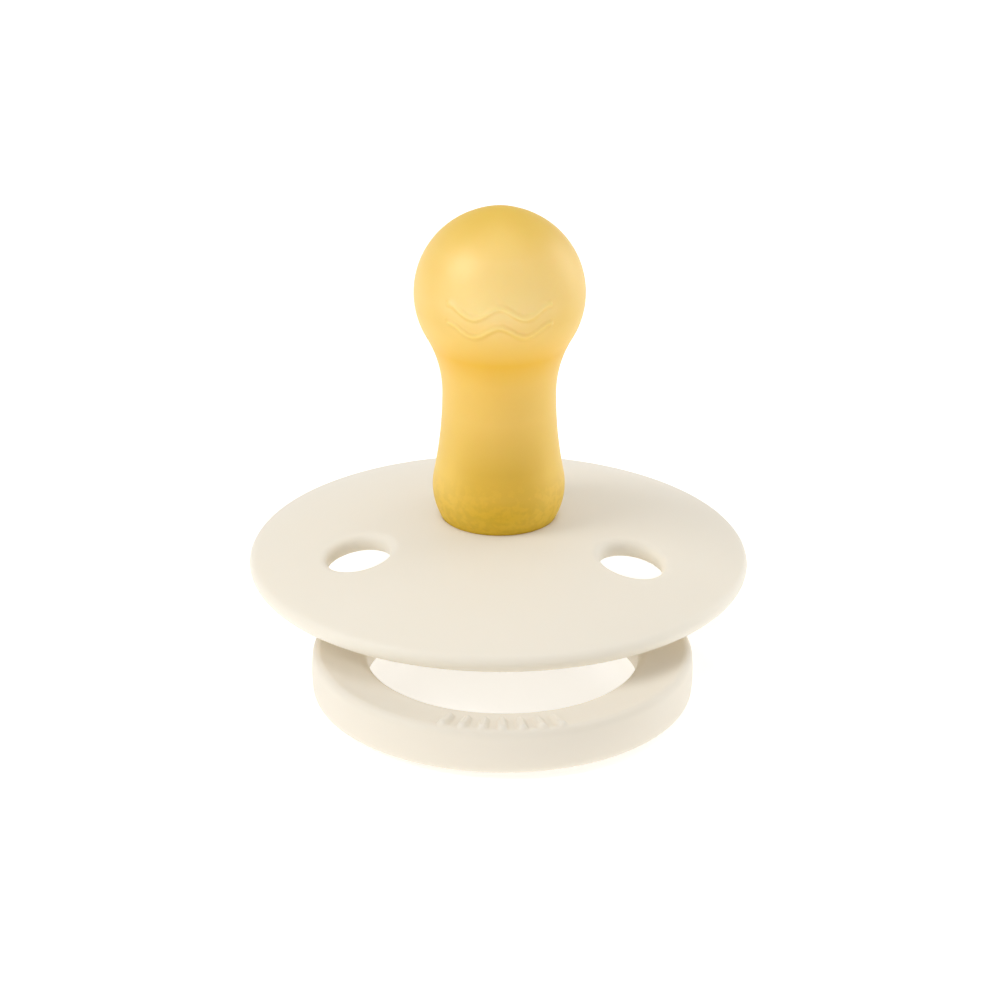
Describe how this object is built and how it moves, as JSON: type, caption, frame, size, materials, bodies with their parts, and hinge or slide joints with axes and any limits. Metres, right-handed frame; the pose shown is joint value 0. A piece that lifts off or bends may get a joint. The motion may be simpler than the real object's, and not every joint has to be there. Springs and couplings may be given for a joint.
{
  "type": "pacifier",
  "caption": "Baby pacifier with a hollow round-tipped latex teat, a domed round shield with vent holes, a rear knob and a swinging ring handle.",
  "frame": {"origin": "centre of the knob's flat back face, which the pacifier rests on", "axes": "+Z along the teat towards its tip, X along the hinge bar, and the ring lies towards -Y at rest"},
  "size_m": [0.044, 0.0511, 0.0393],
  "materials": {
    "latex": "translucent satin",
    "shield_plastic": "satin",
    "plug_plastic": "satin"
  },
  "bodies": {
    "soother": {"teat": "latex", "shield": "shield_plastic", "plug": "plug_plastic", "knob": "shield_plastic"},
    "handle": {"ring": "shield_plastic"}
  },
  "joints": [
    {"name": "ring_hinge", "type": "hinge", "parent": "soother", "child": "handle", "pos_m": [0, 0, 0.0025], "axis": [1, 0, 0], "range_deg": [-4, 184]}
  ]
}
